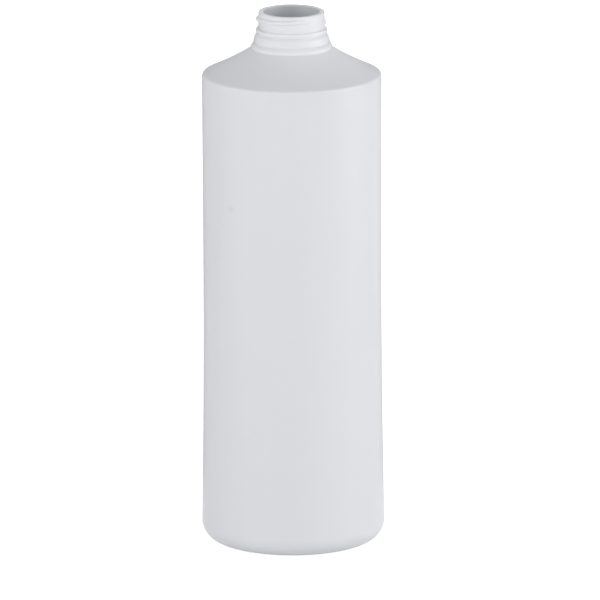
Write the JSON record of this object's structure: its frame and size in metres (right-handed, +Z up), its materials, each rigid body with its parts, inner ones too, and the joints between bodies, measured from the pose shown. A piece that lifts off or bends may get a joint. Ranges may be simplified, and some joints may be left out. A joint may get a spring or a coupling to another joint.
{
  "type": "dispenser bottle",
  "caption": "Tall round white plastic bottle with a sloping shoulder, a ringed screw neck, an open mouth and a rounded foot; holds soap or another liquid for a cap or pump.",
  "frame": {"origin": "centre of the ring that the bottle stands on, on the ground plane", "axes": "+Z up along the bottle's axis, towards the mouth; -Y is the side that the picture shows"},
  "size_m": [0.0828, 0.0828, 0.2449],
  "materials": {
    "white_plastic": "smooth white polyethylene with a soft satin sheen"
  },
  "bodies": {
    "root": {"bottle": "white_plastic"}
  },
  "joints": []
}
